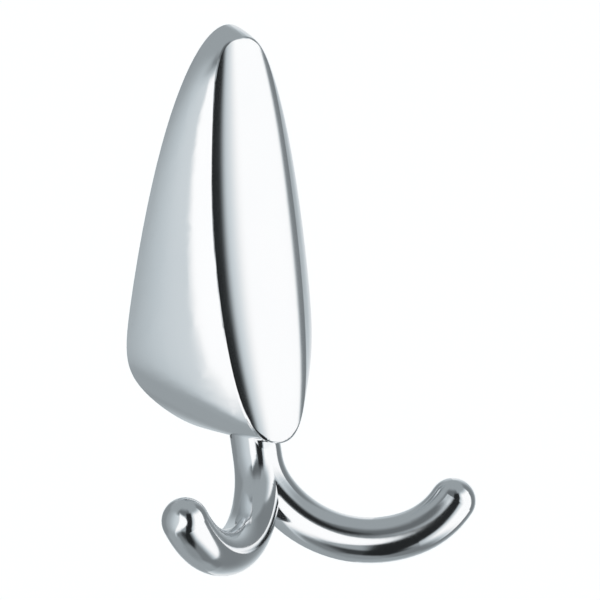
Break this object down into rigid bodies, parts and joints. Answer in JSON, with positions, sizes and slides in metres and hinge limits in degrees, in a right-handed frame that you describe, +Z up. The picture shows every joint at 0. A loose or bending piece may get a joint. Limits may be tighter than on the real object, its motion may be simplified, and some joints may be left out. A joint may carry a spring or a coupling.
{
  "type": "double robe hook",
  "caption": "Wall-mounted double robe hook: sail-shaped chrome body with a long front facet, round upturned arms below, and a concealed wall bracket with a set screw.",
  "frame": {"origin": "on the wall plane, midway between the two screw holes of the wall bracket", "axes": "+X to the right of someone facing the wall, +Y into the wall, +Z up"},
  "size_m": [0.0838, 0.0503, 0.1204],
  "materials": {
    "polished_chrome": "mirror polished",
    "zinc_plated_steel": "zinc plated",
    "screw_steel": "satin"
  },
  "bodies": {
    "root": {"hook_casting": "polished_chrome", "wall_bracket": "zinc_plated_steel", "set_screw": "screw_steel"}
  },
  "joints": []
}
